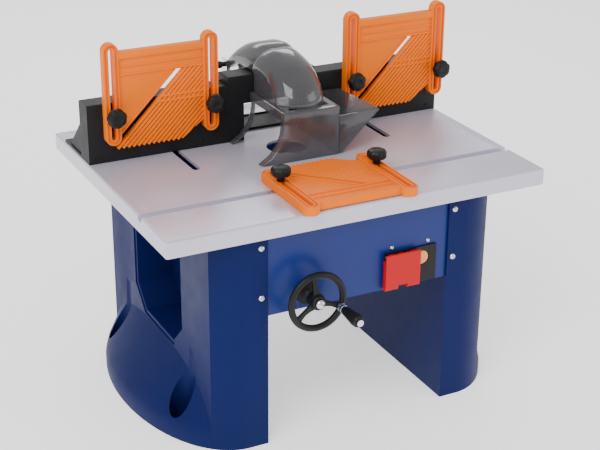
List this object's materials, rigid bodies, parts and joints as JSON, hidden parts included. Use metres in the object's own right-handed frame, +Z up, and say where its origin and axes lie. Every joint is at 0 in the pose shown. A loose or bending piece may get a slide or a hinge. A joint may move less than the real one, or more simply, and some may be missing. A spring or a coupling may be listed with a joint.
{
  "type": "router table",
  "caption": "Bench router table with a lift-mounted motor, handwheel, sliding fence, clear chip guard with dust duct, featherboards and a push-button switch.",
  "frame": {"origin": "middle of the four bench holes and of the two feet, on the bench", "axes": "+X along the table to the operator's right, -Y towards the operator, +Z up"},
  "size_m": [0.6145, 0.5455, 0.549],
  "materials": {
    "table_paint": "cast and clear coated",
    "navy_plastic": "satin",
    "blue_paint": "satin",
    "orange_plastic": "satin",
    "smoked_plastic": "gloss",
    "red_plastic": "gloss",
    "green_plastic": "gloss",
    "amber_plastic": "gloss",
    "black_plastic": "satin",
    "bright_steel": "brushed",
    "bronze": "machined",
    "cast_aluminium": "cast",
    "zinc_steel": "zinc plated"
  },
  "bodies": {
    "stand": {"table_top": "table_paint", "insert_ring": "black_plastic", "plate_screws": "zinc_steel", "frame_screws": "zinc_steel", "left_leg": "navy_plastic", "right_leg": "navy_plastic", "front_panel": "blue_paint", "rear_panel": "blue_paint", "panel_screws": "zinc_steel", "switch_box": "black_plastic", "cover_pin": "zinc_steel", "switch_screws": "zinc_steel", "switch_bracket": "zinc_steel", "left_column": "bright_steel", "right_column": "bright_steel", "lift_base": "cast_aluminium", "screw_bearing": "cast_aluminium", "shaft_bearing": "black_plastic"},
    "carriage": {"motor_carriage": "cast_aluminium", "column_bushes": "bronze", "lift_nut": "bronze", "motor_housing": "cast_aluminium", "motor_cap": "black_plastic"},
    "spindle": {"spindle": "bright_steel", "collet_nut": "bright_steel"},
    "lift_screw": {"lift_screw": "bright_steel", "screw_gear": "bright_steel"},
    "handwheel": {"handwheel": "black_plastic", "wheel_nut": "zinc_steel", "wheel_shaft": "bright_steel", "shaft_gear": "bright_steel", "grip_axle": "bright_steel"},
    "crank_grip": {"crank_grip": "black_plastic"},
    "switch_cover": {"switch_cover": "red_plastic"},
    "start_button": {"start_button": "green_plastic"},
    "stop_button": {"stop_button": "amber_plastic"},
    "fence": {"fence_body": "black_plastic", "fence_chute": "black_plastic", "fence_screws": "zinc_steel", "fence_bolts": "zinc_steel", "fence_board_bolts": "zinc_steel", "hood_bracket": "black_plastic"},
    "left_fence_knob": {"left_fence_knob": "black_plastic"},
    "right_fence_knob": {"right_fence_knob": "black_plastic"},
    "left_featherboard": {"left_featherboard": "orange_plastic"},
    "right_featherboard": {"right_featherboard": "orange_plastic"},
    "left_board_left_knob": {"left_board_left_knob": "black_plastic"},
    "left_board_right_knob": {"left_board_right_knob": "black_plastic"},
    "right_board_left_knob": {"right_board_left_knob": "black_plastic"},
    "right_board_right_knob": {"right_board_right_knob": "black_plastic"},
    "hood": {"guard_box": "smoked_plastic", "dust_duct": "smoked_plastic"},
    "left_hood_knob": {"left_hood_knob": "black_plastic"},
    "right_hood_knob": {"right_hood_knob": "black_plastic"},
    "mitre_bar": {"mitre_bar": "cast_aluminium", "mitre_bolts": "zinc_steel"},
    "table_featherboard": {"table_featherboard": "orange_plastic"},
    "table_board_left_knob": {"table_board_left_knob": "black_plastic"},
    "table_board_right_knob": {"table_board_right_knob": "black_plastic"}
  },
  "joints": [
    {"name": "wheel_turn", "type": "hinge", "parent": "stand", "child": "handwheel", "pos_m": [-0.086, -0.25, 0.233], "axis": [0, 1, 0], "range_deg": [-1800, 1800]},
    {"name": "grip_spin", "type": "hinge", "parent": "handwheel", "child": "crank_grip", "pos_m": [-0.04984, -0.28, 0.21839], "axis": [0, -1, 0], "continuous": true},
    {"name": "screw_turn", "type": "hinge", "parent": "stand", "child": "lift_screw", "pos_m": [-0.086, 0.074, 0.233], "axis": [0, 0, 1], "range_deg": [-1800, 1800]},
    {"name": "carriage_lift", "type": "slide", "parent": "stand", "child": "carriage", "axis": [0, 0, 1], "range_m": [-0.02, 0.02]},
    {"name": "spindle_spin", "type": "hinge", "parent": "carriage", "child": "spindle", "pos_m": [0, 0.02, 0.33], "axis": [0, 0, 1], "continuous": true},
    {"name": "fence_slide", "type": "slide", "parent": "stand", "child": "fence", "axis": [0, 1, 0], "range_m": [-0.03, 0.035]},
    {"name": "left_board_slide", "type": "slide", "parent": "fence", "child": "left_featherboard", "axis": [0, 0, 1], "range_m": [-0.02, 0.03]},
    {"name": "right_board_slide", "type": "slide", "parent": "fence", "child": "right_featherboard", "axis": [0, 0, 1], "range_m": [-0.02, 0.03]},
    {"name": "hood_lift", "type": "slide", "parent": "fence", "child": "hood", "axis": [0, 0, 1], "range_m": [0, 0.02]},
    {"name": "mitre_slide", "type": "slide", "parent": "stand", "child": "mitre_bar", "axis": [1, 0, 0], "range_m": [-0.18, 0.18]},
    {"name": "table_board_slide", "type": "slide", "parent": "mitre_bar", "child": "table_featherboard", "axis": [0, 1, 0], "range_m": [-0.033, 0.03]},
    {"name": "cover_hinge", "type": "hinge", "parent": "stand", "child": "switch_cover", "pos_m": [0.068, -0.2225, 0.264], "axis": [-1, 0, 0], "range_deg": [0, 80]},
    {"name": "start_press", "type": "slide", "parent": "stand", "child": "start_button", "axis": [0, 1, 0], "range_m": [0, 0.003], "stiffness_N_per_m": 400},
    {"name": "stop_press", "type": "slide", "parent": "stand", "child": "stop_button", "axis": [0, 1, 0], "range_m": [0, 0.003], "stiffness_N_per_m": 400},
    {"name": "left_board_left_knob_turn", "type": "hinge", "parent": "fence", "child": "left_board_left_knob", "pos_m": [-0.2665, 0.0594, 0.44], "axis": [0, -1, 0], "continuous": true},
    {"name": "left_board_right_knob_turn", "type": "hinge", "parent": "fence", "child": "left_board_right_knob", "pos_m": [-0.1085, 0.0594, 0.44], "axis": [0, -1, 0], "continuous": true},
    {"name": "right_board_left_knob_turn", "type": "hinge", "parent": "fence", "child": "right_board_left_knob", "pos_m": [0.1365, 0.0594, 0.44], "axis": [0, -1, 0], "continuous": true},
    {"name": "right_board_right_knob_turn", "type": "hinge", "parent": "fence", "child": "right_board_right_knob", "pos_m": [0.2945, 0.0594, 0.44], "axis": [0, -1, 0], "continuous": true},
    {"name": "left_fence_knob_turn", "type": "hinge", "parent": "fence", "child": "left_fence_knob", "pos_m": [-0.164, 0.152, 0.3666], "axis": [0, 0, 1], "continuous": true},
    {"name": "right_fence_knob_turn", "type": "hinge", "parent": "fence", "child": "right_fence_knob", "pos_m": [0.164, 0.152, 0.3666], "axis": [0, 0, 1], "continuous": true},
    {"name": "left_hood_knob_turn", "type": "hinge", "parent": "fence", "child": "left_hood_knob", "pos_m": [-0.0356, 0.176, 0.456], "axis": [-1, 0, 0], "continuous": true},
    {"name": "right_hood_knob_turn", "type": "hinge", "parent": "fence", "child": "right_hood_knob", "pos_m": [0.0536, 0.176, 0.456], "axis": [1, 0, 0], "continuous": true},
    {"name": "table_board_left_knob_turn", "type": "hinge", "parent": "mitre_bar", "child": "table_board_left_knob", "pos_m": [-0.0885, -0.138, 0.3766], "axis": [0, 0, 1], "continuous": true},
    {"name": "table_board_right_knob_turn", "type": "hinge", "parent": "mitre_bar", "child": "table_board_right_knob", "pos_m": [0.0695, -0.138, 0.3766], "axis": [0, 0, 1], "continuous": true}
  ],
  "couplings": [
    {"joint": "wheel_turn", "follows": "carriage_lift", "rad_per_m": 1570.8},
    {"joint": "screw_turn", "follows": "carriage_lift", "rad_per_m": -1570.8}
  ]
}
